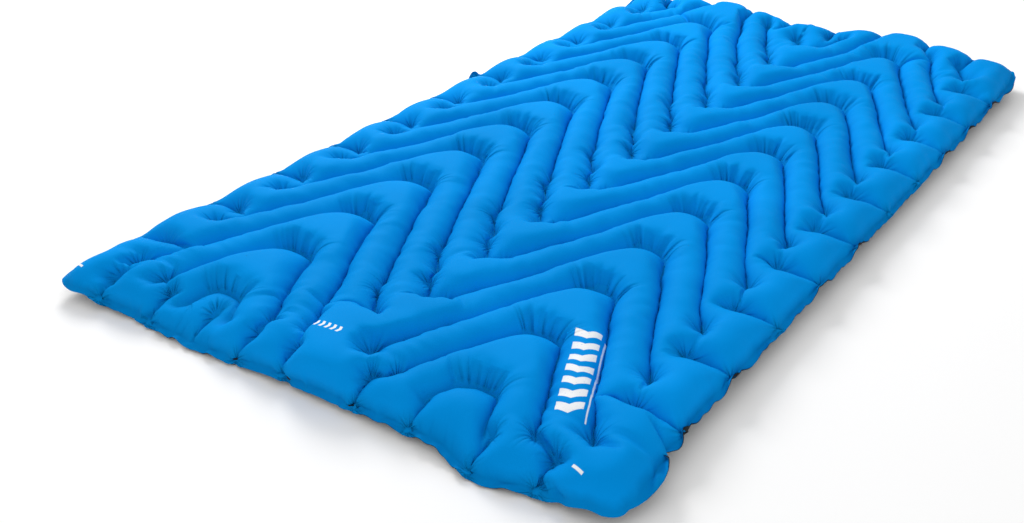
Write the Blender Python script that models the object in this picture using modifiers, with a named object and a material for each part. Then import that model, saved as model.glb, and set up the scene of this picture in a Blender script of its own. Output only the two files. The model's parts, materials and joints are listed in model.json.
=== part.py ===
"""Two-person inflatable sleeping pad: two welded fabric sheets with a twist valve at each foot corner.

Metres, +Z up. The pad lies on z = 0, centred on the origin, with its foot edge towards -Y.
"""

import math

import bmesh
import bpy
from mathutils import Matrix, Vector
from mathutils.geometry import delaunay_2d_cdt

# Overall size, inflated
WIDTH = 1.19
LENGTH = 1.88
THICKNESS = 0.076
CORNER_RADIUS = 0.055
FLANGE = 0.012  # flat welded margin round the edge
SHEET = 0.0010  # thickness of one laminated sheet in this model
GAP = 0.0003  # left between pieces that touch
WELD_HEIGHT = THICKNESS / 2

# Chevron welds: two columns, apexes towards the head
CHEVRON_PITCH = 0.1627
CHEVRON_HALF_WIDTH = 0.209
LEG_ANGLE = math.radians(28.5)  # between a leg and the pad's length
BEND_RADIUS = 0.042
COLUMN_OFFSET = 0.274  # from the pad's centreline to a column's
LEG_END = {1: 0.108, -1: 0.088}  # from the foot edge to the first full chevron, by side
FIRST_CHEVRON = -2
LAST_CHEVRON = 10
SHORTEST_WELD = 0.010
FOOT_MARGIN = 0.080  # chevrons stop this far from the foot and head edges
ARCH_MARGIN = 0.060  # and the small arches below the first chevrons this far from the foot
HEAD_MARGIN = 0.075

# Short welds along the rails, the foot, the head and the middle lane
RAIL_WELD_REACH = 0.088
RIGHT_RAIL = (0.193, 10)  # first weld from the foot edge, and how many
LEFT_RAIL = (0.148, 11)
END_WELD_LENGTH = 0.045
FOOT_WELDS = (0.110, 0.225, 0.335, 0.445, 0.545, 0.705, 0.815, 0.945, 1.048)
HEAD_WELD_COUNT = 8
LANE_WELDS = 10
LEFT_LANE_WELD = ((-0.058, -0.020), (-0.017, -0.072))  # ends of one, from the left leg's end
RIGHT_LANE_WELD = ((-0.003, 0.058), (0.038, 0.006))

# Tube section: flat on the crown, as it lies on the ground
CROWN_DISTANCE = 0.026
CROWN_HALF_WIDTH = 0.012
FILLER_SPACING = 0.038
FILLER_CLEARANCE = 0.025

# Valves: local z runs outwards along each valve's axis, from the bottom sheet's outer face
VALVE_DROP = math.radians(40.0)  # axis below the horizontal
VALVE_HEIGHT = 0.021
VALVE_OUT = 0.028  # from the corner's arc centre, along the diagonal
PATCH_RADIUS = 0.019
BARREL_RADIUS = 0.0070
CAP_RADIUS = 0.0100
CAP_TOP = 0.0120
BASE_RADIUS = 0.0170
ROUND_STEPS = 18
SMALL_STEPS = 12
PATCH_STEPS = 12
PATCH_CLEARANCE = 1.3  # welds stay outside this many patch radii
BASE_THICKNESS = 0.0010
COLLAR_THICKNESS = 0.0012
SHARP_ANGLE = math.radians(35)

PAD_COLLECTION = "inflatable_sleeping_pad"
CUTTER_COLLECTION = "cutters"


def clear_scene():
    for old in list(bpy.data.objects):
        bpy.data.objects.remove(old, do_unlink=True)


def make_collection(name):
    collection = bpy.data.collections.new(name)
    bpy.context.scene.collection.children.link(collection)
    return collection


def make_material(name, color, roughness, metallic=0.0):
    material = bpy.data.materials.new(name)
    material.use_nodes = True
    shader = material.node_tree.nodes["Principled BSDF"]
    shader.inputs["Base Color"].default_value = (*color, 1.0)
    shader.inputs["Roughness"].default_value = roughness
    shader.inputs["Metallic"].default_value = metallic
    return material


def add_object(name, mesh, collection, material=None):
    piece = bpy.data.objects.new(name, mesh)
    collection.objects.link(piece)
    if material is not None:
        mesh.materials.append(material)
    return piece


def mesh_from_bmesh(name, bm):
    mesh = bpy.data.meshes.new(name)
    bm.to_mesh(mesh)
    bm.free()
    return mesh


# ---- weld layout, in plan ----


def outline(inset):
    """The pad's rounded outline, moved inwards by inset, as a closed loop of points."""
    radius = CORNER_RADIUS - inset
    arc_x = WIDTH / 2 - CORNER_RADIUS
    arc_y = LENGTH / 2 - CORNER_RADIUS
    points = []
    for quarter, (sx, sy) in enumerate(((1, 1), (-1, 1), (-1, -1), (1, -1))):
        for step in range(6):
            angle = math.radians(90 * quarter + 18 * step)
            centre = Vector((sx * arc_x, sy * arc_y))
            points.append(centre + radius * Vector((math.cos(angle), math.sin(angle))))
    return points


def chevron(side, index, shift=0.0):
    """One chevron of a column as one or two polylines, cut back to the foot and head margins."""
    sharp_y = -LENGTH / 2 + LEG_END[side] + index * CHEVRON_PITCH + shift
    sharp_y += CHEVRON_HALF_WIDTH / math.tan(LEG_ANGLE)
    foot = -LENGTH / 2 + (ARCH_MARGIN if index < -1 else FOOT_MARGIN)
    head = LENGTH / 2 - HEAD_MARGIN
    reach = min(CHEVRON_HALF_WIDTH, (sharp_y - foot) * math.tan(LEG_ANGLE))
    bend_y = sharp_y - BEND_RADIUS / math.sin(LEG_ANGLE)
    tangent = BEND_RADIUS * math.cos(LEG_ANGLE)
    if reach <= tangent:
        return []
    right = []
    for step in range(3):
        angle = math.pi / 2 - step / 3 * (math.pi / 2 - LEG_ANGLE)
        right.append(Vector((BEND_RADIUS * math.cos(angle), bend_y + BEND_RADIUS * math.sin(angle))))
    leg = [tangent + (reach - tangent) * share for share in (0.0, 0.5, 1.0)]
    right += [Vector((x, sharp_y - x / math.tan(LEG_ANGLE))) for x in leg]
    if right[0].y > head:
        start = max(tangent, (sharp_y - head) * math.tan(LEG_ANGLE))
        if start >= reach - SHORTEST_WELD:
            return []
        cut = [Vector((x, sharp_y - x / math.tan(LEG_ANGLE))) for x in (start, (start + reach) / 2, reach)]
        lines = [cut, [Vector((-p.x, p.y)) for p in cut]]
    else:
        lines = [[Vector((-p.x, p.y)) for p in reversed(right[1:])] + right]
    centre = Vector((side * COLUMN_OFFSET, 0.0))
    return [[p + centre for p in line] for line in lines]


def rail_welds():
    """Short welds that run in from each long edge and part the rail into pillows."""
    lines = []
    inner = WIDTH / 2 - RAIL_WELD_REACH
    edge = WIDTH / 2 - FLANGE
    for side, (first, count) in ((1, RIGHT_RAIL), (-1, LEFT_RAIL)):
        for index in range(count):
            y = -LENGTH / 2 + first + index * CHEVRON_PITCH
            lines.append([Vector((side * edge, y)), Vector((side * inner, y))])
    return lines


def end_welds():
    """Short welds that run in from the foot and head edges."""
    lines = []
    edge = LENGTH / 2 - FLANGE
    for x in FOOT_WELDS:
        foot = Vector((x - WIDTH / 2, -edge))
        lines.append([foot, foot + Vector((0.0, END_WELD_LENGTH))])
    for index in range(HEAD_WELD_COUNT):
        x = WIDTH * ((index + 1) / (HEAD_WELD_COUNT + 1) - 0.5)
        lines.append([Vector((x, edge)), Vector((x, edge - END_WELD_LENGTH))])
    return lines


def lane_welds():
    """Two short slanted welds for each chevron, in the lane between the columns."""
    lines = []
    for index in range(LANE_WELDS):
        y = -LENGTH / 2 + LEG_END[-1] + (index + 1) * CHEVRON_PITCH
        for ends in (LEFT_LANE_WELD, RIGHT_LANE_WELD):
            lines.append([Vector((x, y + rise)) for x, rise in ends])
    return lines


def weld_lines():
    lines = rail_welds() + end_welds() + lane_welds()
    for side in (1, -1):
        for index in range(FIRST_CHEVRON, LAST_CHEVRON + 1):
            lines += chevron(side, index)
    return lines


def crown_lines():
    """Two lines along each tube's flat crown, halfway between neighbouring chevrons."""
    lines = []
    for side in (1, -1):
        for index in range(FIRST_CHEVRON, LAST_CHEVRON):
            for edge in (-1, 1):
                shift = CHEVRON_PITCH / 2 + edge * CROWN_HALF_WIDTH / math.sin(LEG_ANGLE)
                lines += chevron(side, index, shift)
    return lines


def segments_of(lines, closed=False):
    pairs = []
    for line in lines:
        pairs += list(zip(line, line[1:]))
        if closed:
            pairs.append((line[-1], line[0]))
    return pairs


def distance(point, segments):
    """From a point in plan to the nearest segment."""
    nearest = math.inf
    for a, b in segments:
        along = b - a
        share = max(0.0, min(1.0, (point - a).dot(along) / along.length_squared))
        nearest = min(nearest, (point - a - along * share).length)
    return nearest


# ---- sheets ----


def on_flange(point):
    """True on the flat margin, which lies outside the inner outline."""
    arc_x = WIDTH / 2 - CORNER_RADIUS
    arc_y = LENGTH / 2 - CORNER_RADIUS
    x = max(0.0, abs(point.x) - arc_x)
    y = max(0.0, abs(point.y) - arc_y)
    return math.hypot(x, y) >= CORNER_RADIUS - FLANGE - 1e-5


def bulge(point, segments):
    """How far a sheet stands off the weld plane: a quarter ellipse up to the flat crown."""
    if on_flange(point):
        return 0.0
    share = min(1.0, distance(point, segments) / CROWN_DISTANCE)
    full = WELD_HEIGHT - SHEET - GAP / 2
    return full * math.sqrt(1.0 - (1.0 - share) ** 2)


def filler_points(segments):
    """A loose grid of points over the areas that the welds and crowns leave bare."""
    points = []
    columns = round(WIDTH / FILLER_SPACING)
    rows = round(LENGTH / FILLER_SPACING)
    for row in range(1, rows):
        for column in range(1, columns):
            x = (column / columns - 0.5) * WIDTH
            point = Vector((x, (row / rows - 0.5) * LENGTH))
            if not on_flange(point) and distance(point, segments) > FILLER_CLEARANCE:
                points.append(point)
    return points


def valve_frame(side):
    """The valve's placement at a foot corner: local z outwards along its axis."""
    diagonal = Vector((side, -1.0, 0.0)).normalized()
    axis = diagonal * math.cos(VALVE_DROP) - Vector((0.0, 0.0, math.sin(VALVE_DROP)))
    arc_x = WIDTH / 2 - CORNER_RADIUS
    arc_y = LENGTH / 2 - CORNER_RADIUS
    centre = Vector((side * arc_x, -arc_y, VALVE_HEIGHT)) + diagonal * VALVE_OUT
    across = axis.cross(Vector((0.0, 0.0, 1.0))).normalized()
    up = across.cross(axis)
    turn = Matrix((across, -up, axis)).transposed()
    if turn.determinant() < 0:
        turn = Matrix((across, up, axis)).transposed()
    return Matrix.Translation(centre) @ turn.to_4x4()


def valve_patch(side):
    """Points of the flat round patch that holds a valve."""
    frame = valve_frame(side)
    rim = []
    for step in range(PATCH_STEPS):
        angle = math.tau * step / PATCH_STEPS
        rim.append(frame @ (PATCH_RADIUS * Vector((math.cos(angle), math.sin(angle), 0.0))))
    return rim, frame.translation


def inside_patch(point, rim, centre):
    """True if a plan point is within the patch's ellipse in plan, or just outside it."""
    diagonal = Vector((math.copysign(1.0, centre.x), -1.0)).normalized()
    offset = point - centre.xy
    along = offset.dot(diagonal) / math.sin(VALVE_DROP)
    across = offset.dot(Vector((-diagonal.y, diagonal.x)))
    return math.hypot(along, across) < PATCH_RADIUS * PATCH_CLEARANCE


def sheet_mesh(name, direction, patches=()):
    """One sheet's outer surface, direction +1 for the top and -1 for the bottom."""
    welds = weld_lines()
    margin = outline(FLANGE)
    weld_segments = segments_of(welds) + segments_of([margin], closed=True)
    crowns = crown_lines()
    filler = filler_points(weld_segments + segments_of(crowns))
    lines = welds + crowns
    loops = [outline(0.0), margin]
    heights = {}
    points = []
    edges = []
    for rim, centre in patches:
        lines = [line for line in lines if not any(inside_patch(p, rim, centre) for p in line)]
        filler = [p for p in filler if not inside_patch(p, rim, centre)]
    for line in lines:
        edges += [(len(points) + i, len(points) + i + 1) for i in range(len(line) - 1)]
        points += line
    for loop in loops + [[p.xy for p in rim] for rim, centre in patches]:
        count = len(loop)
        edges += [(len(points) + i, len(points) + (i + 1) % count) for i in range(count)]
        points += loop
    points += filler
    for rim, centre in patches:
        for p in rim:
            heights[tuple(round(c, 5) for c in p.xy)] = p.z
    flat, _, faces, _, _, _ = delaunay_2d_cdt(points, edges, [], 0, 1e-6)
    outer = GAP / 2 + SHEET
    bm = bmesh.new()
    for p in flat:
        z = heights.get(tuple(round(c, 5) for c in p))
        if z is None:
            z = WELD_HEIGHT + direction * (outer + bulge(p, weld_segments))
        bm.verts.new((p.x, p.y, z))
    bm.verts.ensure_lookup_table()
    for face in faces:
        order = face if direction > 0 else list(reversed(face))
        bm.faces.new([bm.verts[i] for i in order])
    return mesh_from_bmesh(name, bm)


def add_sheet(name, direction, material, collection, patches=()):
    sheet = add_object(name, sheet_mesh(name, direction, patches), collection, material)
    thicken = sheet.modifiers.new("thickness", "SOLIDIFY")
    thicken.thickness = SHEET
    thicken.offset = -1.0
    return sheet


# ---- valve pieces, in each valve's own axes ----


def turned(name, profile, closed, steps, collection, material):
    """A profile at +X, given down its outer side, turned about local z."""
    bm = bmesh.new()
    verts = [bm.verts.new((radius, 0.0, height)) for radius, height in profile]
    for a, b in zip(verts, verts[1:]):
        bm.edges.new((a, b))
    if closed:
        bm.edges.new((verts[-1], verts[0]))
    piece = add_object(name, mesh_from_bmesh(name, bm), collection, material)
    screw = piece.modifiers.new("turn", "SCREW")
    screw.axis = "Z"
    screw.steps = steps
    screw.render_steps = steps
    screw.use_merge_vertices = True
    screw.merge_threshold = 0.00001
    return piece


def box_cutter(name, size, centre, collection):
    bm = bmesh.new()
    bmesh.ops.create_cube(bm, size=1.0)
    bmesh.ops.scale(bm, vec=size, verts=bm.verts)
    bmesh.ops.translate(bm, vec=centre, verts=bm.verts)
    return hidden(add_object(name, mesh_from_bmesh(name, bm), collection))


def rod_cutter(name, radius, low, high, collection, offset=(0.0, 0.0)):
    bm = bmesh.new()
    bmesh.ops.create_cone(
        bm, cap_ends=True, segments=ROUND_STEPS, radius1=radius, radius2=radius, depth=high - low
    )
    bmesh.ops.translate(bm, vec=(*offset, (high + low) / 2), verts=bm.verts)
    return hidden(add_object(name, mesh_from_bmesh(name, bm), collection))


def hidden(cutter):
    cutter.hide_render = True
    cutter.display_type = "WIRE"
    return cutter


def combine(piece, other, operation):
    boolean = piece.modifiers.new(operation.lower(), "BOOLEAN")
    boolean.operation = operation
    boolean.solver = "EXACT"
    boolean.object = other


def add_base(prefix, collection, material):
    """Soft flange welded to the inside of the bottom sheet."""
    bore = BARREL_RADIUS + GAP
    face = -SHEET - GAP
    back = face - BASE_THICKNESS
    profile = [(bore, face), (BASE_RADIUS, face), (BASE_RADIUS, back), (bore, back)]
    return turned(prefix + "_valve_base", profile, True, ROUND_STEPS, collection, material)


def add_body(prefix, collection, cutters, material):
    """Barrel with a collar each side of the sheet, a narrow seat and a wide bore with a key slot."""
    collar_back = -SHEET - BASE_THICKNESS - 2 * GAP
    profile = [
        (0.0058, 0.0080), (BARREL_RADIUS, 0.0080), (BARREL_RADIUS, 0.0013), (0.0088, 0.0013),
        (0.0088, GAP), (BARREL_RADIUS, GAP), (BARREL_RADIUS, collar_back), (0.0090, collar_back),
        (0.0090, collar_back - COLLAR_THICKNESS), (0.0060, collar_back - COLLAR_THICKNESS),
        (0.0060, -0.0065),
        (0.0041, -0.0065), (0.0041, -0.0012), (0.0058, 0.0006),
    ]
    body = turned(prefix + "_valve_body", profile, True, ROUND_STEPS, collection, material)
    slot = box_cutter(prefix + "_key_slot", (0.0066, 0.0024, 0.0080), (0.0033, 0.0, 0.0060), cutters)
    combine(body, slot, "DIFFERENCE")
    return body, [slot]


def add_plunger(prefix, collection, cutters, material):
    """Stem with a grooved sealing head; four fins guide it and the longest runs in the key slot."""
    profile = [
        (0.0, 0.0100), (0.0030, 0.0100), (0.0030, 0.0090), (0.0018, 0.0082), (0.0018, -0.0012),
        (0.0036, -0.0022), (0.0036, -0.0032), (0.0023, -0.0032), (0.0023, -0.0046),
        (0.0036, -0.0046), (0.0036, -0.0056), (0.0, -0.0056),
    ]
    plunger = turned(prefix + "_plunger", profile, False, SMALL_STEPS, collection, material)
    long_fin = box_cutter(prefix + "_fin_x", (0.0114, 0.0016, 0.0050), (0.0006, 0.0, 0.0052), cutters)
    cross_fin = box_cutter(prefix + "_fin_y", (0.0016, 0.0102, 0.0050), (0.0, 0.0, 0.0052), cutters)
    combine(plunger, long_fin, "UNION")
    combine(plunger, cross_fin, "UNION")
    return plunger, [long_fin, cross_fin]


def add_seal(prefix, collection, material):
    """Round seal in the plunger head's groove."""
    bpy.ops.mesh.primitive_torus_add(
        major_segments=ROUND_STEPS, minor_segments=6, major_radius=0.0031, minor_radius=0.0004
    )
    seal = bpy.context.object
    seal.data.transform(Matrix.Translation((0.0, 0.0, -0.0039)))
    seal.name = prefix + "_seal"
    for owner in list(seal.users_collection):
        owner.objects.unlink(seal)
    collection.objects.link(seal)
    seal.data.materials.append(material)
    return seal


def add_cap(prefix, collection, cutters, material):
    """Twist cap: a cup over the barrel with two grip lugs and four air ports."""
    inner = BARREL_RADIUS + 0.0006
    roof = CAP_TOP - 0.0015
    profile = [
        (0.0, CAP_TOP), (CAP_RADIUS - 0.0010, CAP_TOP), (CAP_RADIUS, CAP_TOP - 0.0010),
        (CAP_RADIUS, 0.0018), (inner, 0.0018), (inner, roof), (0.0, roof),
    ]
    cap = turned(prefix + "_cap", profile, False, ROUND_STEPS, collection, material)
    extras = []
    for index, side in enumerate((-1, 1)):
        name = f"{prefix}_lug_{index + 1}"
        lug = box_cutter(name, (0.0026, 0.0034, 0.0080), (side * 0.0103, 0.0, 0.0062), cutters)
        combine(cap, lug, "UNION")
        extras.append(lug)
    for index in range(4):
        angle = math.pi / 4 + index * math.pi / 2
        place = (0.0054 * math.cos(angle), 0.0054 * math.sin(angle))
        port = rod_cutter(f"{prefix}_port_{index + 1}", 0.0012, 0.009, 0.014, cutters, place)
        combine(cap, port, "DIFFERENCE")
        extras.append(port)
    return cap, extras


def add_check_flap(prefix, collection, material):
    """Soft disc that covers the seat from the inside and lifts as air comes in."""
    profile = [(0.0, -0.0068), (0.0056, -0.0068), (0.0056, -0.0076), (0.0, -0.0076)]
    return turned(prefix + "_check_flap", profile, False, ROUND_STEPS, collection, material)


def add_valve(prefix, side, one_way, collection, cutters, materials):
    mount = bpy.data.objects.new(prefix + "_valve_axis", None)
    collection.objects.link(mount)
    mount.matrix_world = valve_frame(side)
    base = add_base(prefix, collection, materials["soft"])
    body, body_extras = add_body(prefix, collection, cutters, materials["hard"])
    plunger, plunger_extras = add_plunger(prefix, collection, cutters, materials["plunger"])
    seal = add_seal(prefix, collection, materials["rubber"])
    cap, cap_extras = add_cap(prefix, collection, cutters, materials["cap"])
    pieces = [base, body, plunger, seal, cap]
    if one_way:
        pieces.append(add_check_flap(prefix, collection, materials["flap"]))
    for piece in pieces + body_extras + plunger_extras + cap_extras:
        piece.parent = mount
    for piece in pieces:
        if piece is not seal:
            smooth(piece)


def smooth(piece):
    piece.data.shade_smooth()
    piece.data.set_sharp_from_angle(angle=SHARP_ANGLE)
    for modifier in piece.modifiers:
        if modifier.type == "SCREW":
            modifier.use_smooth_shade = True


def cut_valve_hole(sheet, side, cutters):
    hole = rod_cutter(f"hole_{sheet.name}_{side}", BARREL_RADIUS + GAP, -0.005, 0.005, cutters)
    hole.matrix_world = valve_frame(side)
    combine(sheet, hole, "DIFFERENCE")


def main():
    clear_scene()
    pad = make_collection(PAD_COLLECTION)
    cutters = make_collection(CUTTER_COLLECTION)
    top_fabric = make_material("top_fabric", (0.0, 0.22, 0.68), 0.55)
    bottom_fabric = make_material("bottom_fabric", (0.04, 0.042, 0.048), 0.6)
    valve_materials = {
        "soft": make_material("clear_flange", (0.10, 0.10, 0.11), 0.5),
        "hard": make_material("grey_plastic", (0.08, 0.08, 0.085), 0.4),
        "plunger": make_material("black_plastic", (0.02, 0.02, 0.022), 0.4),
        "rubber": make_material("seal_rubber", (0.012, 0.012, 0.012), 0.7),
        "cap": make_material("cap_plastic", (0.03, 0.03, 0.033), 0.45),
        "flap": make_material("flap_silicone", (0.55, 0.56, 0.56), 0.5),
    }
    add_sheet("top_sheet", 1, top_fabric, pad)
    patches = [valve_patch(side) for side in (1, -1)]
    bottom = add_sheet("bottom_sheet", -1, bottom_fabric, pad, patches)
    for side in (1, -1):
        cut_valve_hole(bottom, side, cutters)
    add_valve("inflate", 1, True, pad, cutters, valve_materials)
    add_valve("deflate", -1, False, pad, cutters, valve_materials)


main()
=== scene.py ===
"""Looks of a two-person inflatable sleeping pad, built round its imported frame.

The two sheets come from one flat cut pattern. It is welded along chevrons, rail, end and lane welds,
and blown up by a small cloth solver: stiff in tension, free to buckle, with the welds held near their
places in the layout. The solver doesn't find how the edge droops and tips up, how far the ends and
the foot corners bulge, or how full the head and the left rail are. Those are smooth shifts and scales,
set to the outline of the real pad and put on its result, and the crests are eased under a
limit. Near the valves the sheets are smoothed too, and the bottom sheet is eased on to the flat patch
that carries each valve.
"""

import json
import math

import bpy
import numpy as np
from mathutils import Matrix, Vector
from mathutils.geometry import delaunay_2d_cdt


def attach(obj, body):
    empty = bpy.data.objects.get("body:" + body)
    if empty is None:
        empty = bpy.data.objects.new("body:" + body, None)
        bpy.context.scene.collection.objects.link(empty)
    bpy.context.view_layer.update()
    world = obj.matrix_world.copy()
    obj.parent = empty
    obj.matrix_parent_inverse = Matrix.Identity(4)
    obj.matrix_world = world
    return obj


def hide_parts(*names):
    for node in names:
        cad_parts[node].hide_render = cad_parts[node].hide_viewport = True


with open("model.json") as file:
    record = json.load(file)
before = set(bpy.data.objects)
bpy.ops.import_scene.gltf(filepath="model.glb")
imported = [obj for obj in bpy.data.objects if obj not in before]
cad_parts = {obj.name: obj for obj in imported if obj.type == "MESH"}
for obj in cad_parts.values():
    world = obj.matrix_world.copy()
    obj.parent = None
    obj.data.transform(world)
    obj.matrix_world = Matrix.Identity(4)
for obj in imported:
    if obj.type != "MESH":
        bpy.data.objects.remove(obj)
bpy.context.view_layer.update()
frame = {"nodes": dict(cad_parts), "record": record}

# Inflated size and weld layout, in metres, as in the frame
WIDTH = 1.19
LENGTH = 1.88
WELD_HEIGHT = 0.038
CORNER_RADIUS = 0.055
FLANGE = 0.012
CHEVRON_PITCH = 0.1627
CHEVRON_HALF_WIDTH = 0.209
LEG_ANGLE = math.radians(28.5)
BEND_RADIUS = 0.042
COLUMN_OFFSET = 0.274
LEG_END = {1: 0.108, -1: 0.088}
CHEVRONS = range(-2, 11)
FOOT_MARGIN = 0.080
ARCH_MARGIN = 0.060
HEAD_MARGIN = 0.075
RAIL_WELD_REACH = 0.088
RIGHT_RAIL = (0.193, 10)
LEFT_RAIL = (0.148, 11)
END_WELD_LENGTH = 0.045
FOOT_WELDS = (0.110, 0.225, 0.335, 0.445, 0.545, 0.705, 0.815, 0.945, 1.048)
HEAD_WELD_COUNT = 8
LANE_WELDS = 10
LEFT_LANE_WELD = ((-0.058, -0.020), (-0.017, -0.072))
RIGHT_LANE_WELD = ((-0.003, 0.058), (0.038, 0.006))

# Cut pattern: the flat fabric is wider across each leg's tube than the inflated layout, and as long
# along it, so the tubes fill without creasing along their legs
ACROSS_SLACK = 1.37
LEG_SLACK = 0.998
LENGTH_SCALE = math.hypot(ACROSS_SLACK * math.sin(LEG_ANGLE), LEG_SLACK * math.cos(LEG_ANGLE))
COLUMN_SCALE = ACROSS_SLACK * LEG_SLACK / LENGTH_SCALE
LEG_SHEAR = math.sin(2 * LEG_ANGLE) / 2 * (ACROSS_SLACK**2 - LEG_SLACK**2) / LENGTH_SCALE
SIDE_SCALE = 1.18
END_SCALE = 1.16
END_ZONE = 0.22
END_EXTRA = 0.020

# Solver
COARSE_STEP = 0.0252
# Height of a row of equal triangles, and roughly how much wider and longer the flat fabric is
ROW_STEP = 0.866
FLAT_WIDER = 1.27
FLAT_LONGER = 1.1
JITTER = 0.2
DOME_HEIGHT = 0.034
DOME_REACH = 0.036
START_NOISE = 0.0004
SEED = 7
# steps, pressure step in metres, hold in compression, hold of the layout, at each level of detail
LEVELS = [
    (250, 0.000060, 0.05, 1.0),
    (220, 0.000016, 0.25, 0.7),
    (280, 0.000006, 1.00, 0.5),
]
BENDING = 0.05
FLANGE_BENDING = 0.5
LIFT_EVERY = 4
SLOWING = 0.97
# Share by which the cloth stretches and shortens freely: along its threads, and more on the bias
STRETCH_GIVE = 0.008
PRESS_GIVE = 0.025
BIAS_GIVE = 0.060
# Fine puckers take up the centre lane's spare length, up to a distance from the middle, then less
LANE_GIVE = 0.08
PUCKER_REACH = 0.05
PUCKER_FADE = 0.12
WELD_HOLD = 0.010
RIM_HOLD = 0.005

# How the edge hangs from the weld plane, and how far the end pillows bulge. A negative droop lifts.
FOOT_DROOP = 0.030
# Share of the foot's droop that is left near a valve, how near, and over what distance it comes back
VALVE_DROOP = 0.30
VALVE_NEAR = 0.03
VALVE_FADE = 0.08
LEFT_DROOP = 0.010
RIGHT_DROOP = 0.003
HEAD_DROOP = -0.012
DROOP_REACH = 0.09
# Centre, half-width and depth of the lobes where the foot bulges
FOOT_LOBES = ((-0.28, 0.15, 0.014), (0.36, 0.07, 0.020))
# Bulge from which the foot's edge droops in full
FULL_LOBE = 0.014
HEAD_BULGE = {-1: 0.036, 1: 0.062}
HEAD_FULLNESS = 0.25
LEFT_FULLNESS = -0.14
LEFT_TIPS = 0.016
RIGHT_TIPS = 0.007
# X and Y shift of the left and the right foot corner, and how far in it reaches
CORNER_SPREAD = ((-0.018, -0.026, 0.20), (0.024, 0.0, 0.27))
CREST_SCALE = 1.04
CREST_SOFT = 0.038
CREST_LIMIT = 0.048
TOP_SOFT = 0.078
TOP_LIMIT = 0.087

# How much the top sheet is raised, how far the bottom sheet stays below its unraised height at least,
# and the distance between the two on the flange
SHEET_GAP = 0.0010
LEAST_GAP = 0.0002
FLANGE_THICKNESS = 0.0012
SEAM_TOLERANCE = 2e-4
# Distance from a valve up to which the sheets are ironed out, and over which that fades
IRON_REACH = 0.045
IRON_FADE = 0.025
# Radius up to which a valve's patch is flat, and from which the pillow is left as it is
PATCH_RADIUS = 0.0195
PATCH_BLEND = 0.036
# Distance in from the seam over which the bottom sheet eases on to the left and the right patch
PATCH_EASE = {-1: 0.022, 1: 0.006}
HOLE_RADIUS = 0.0080

# Fans of creases at a chevron's bend and at a weld's end: reach, and how densely the creases are set
BEND_FAN = (0.060, 3.4)
END_FAN = (0.044, 1.9)

# Ends of the row of printed chevrons by the foot, in plan
MAIN_PRINT = ((0.348, -0.640), (0.443, -0.831))


def smoothstep(value):
    """0 up to 0, 1 from 1 on, and a smooth rise between."""
    value = np.clip(value, 0, 1)
    return value**2 * (3 - 2 * value)


# ---- weld layout, in plan ----


def resample(points, step):
    points = np.array(points, float)
    lengths = np.linalg.norm(np.diff(points, axis=0), axis=1)
    along = np.concatenate([[0], np.cumsum(lengths)])
    count = max(1, int(round(along[-1] / step)))
    even = np.linspace(0, along[-1], count + 1)
    return np.stack([np.interp(even, along, points[:, 0]), np.interp(even, along, points[:, 1])], 1)


def corner_distance(plan):
    """Distance from the rectangle that the corners' arc centres span."""
    x = np.maximum(0, abs(plan[:, 0]) - (WIDTH / 2 - CORNER_RADIUS))
    y = np.maximum(0, abs(plan[:, 1]) - (LENGTH / 2 - CORNER_RADIUS))
    return np.hypot(x, y)


def past_seam(plan):
    """True on the flange, outside the seam."""
    return corner_distance(plan) > CORNER_RADIUS - FLANGE + SEAM_TOLERANCE


def outline(inset):
    radius = CORNER_RADIUS - inset
    points = []
    for quarter, (sx, sy) in enumerate(((1, 1), (-1, 1), (-1, -1), (1, -1))):
        centre = (sx * (WIDTH / 2 - CORNER_RADIUS), sy * (LENGTH / 2 - CORNER_RADIUS))
        for step in range(10):
            angle = math.radians(90 * quarter + 10 * step)
            points.append((centre[0] + radius * math.cos(angle), centre[1] + radius * math.sin(angle)))
    return resample(points + points[:1], 0.016)[:-1]


def chevron(side, index):
    sharp = -LENGTH / 2 + LEG_END[side] + index * CHEVRON_PITCH + CHEVRON_HALF_WIDTH / math.tan(LEG_ANGLE)
    margin = ARCH_MARGIN if index < -1 else FOOT_MARGIN
    reach = min(CHEVRON_HALF_WIDTH, (sharp + LENGTH / 2 - margin) * math.tan(LEG_ANGLE))
    tangent = BEND_RADIUS * math.cos(LEG_ANGLE)
    if reach <= tangent:
        return []
    bend = sharp - BEND_RADIUS / math.sin(LEG_ANGLE)
    x = np.linspace(-reach, reach, 201)
    arc = bend + np.sqrt(np.maximum(0, BEND_RADIUS**2 - x**2))
    y = np.where(abs(x) > tangent, sharp - abs(x) / math.tan(LEG_ANGLE), arc)
    x = x + side * COLUMN_OFFSET
    head = LENGTH / 2 - HEAD_MARGIN
    if y.max() <= head:
        return [np.stack([x, y], 1)]
    halves = [(y <= head) & (np.arange(201) < 100), (y <= head) & (np.arange(201) > 100)]
    return [np.stack([x[half], y[half]], 1) for half in halves if half.sum() > 6]


def straight_welds():
    lines = []
    for side, (first, count) in ((1, RIGHT_RAIL), (-1, LEFT_RAIL)):
        for index in range(count):
            y = -LENGTH / 2 + first + index * CHEVRON_PITCH
            lines.append([(side * (WIDTH / 2 - FLANGE), y), (side * (WIDTH / 2 - RAIL_WELD_REACH), y)])
    edge = LENGTH / 2 - FLANGE
    for x in FOOT_WELDS:
        lines.append([(x - WIDTH / 2, -edge), (x - WIDTH / 2, -edge + END_WELD_LENGTH)])
    for index in range(HEAD_WELD_COUNT):
        x = WIDTH * ((index + 1) / (HEAD_WELD_COUNT + 1) - 0.5)
        lines.append([(x, edge), (x, edge - END_WELD_LENGTH)])
    for index in range(LANE_WELDS):
        y = -LENGTH / 2 + LEG_END[-1] + (index + 1) * CHEVRON_PITCH
        for ends in (LEFT_LANE_WELD, RIGHT_LANE_WELD):
            lines.append([(x, y + rise) for x, rise in ends])
    return [resample(line, 0.016) for line in lines]


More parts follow.
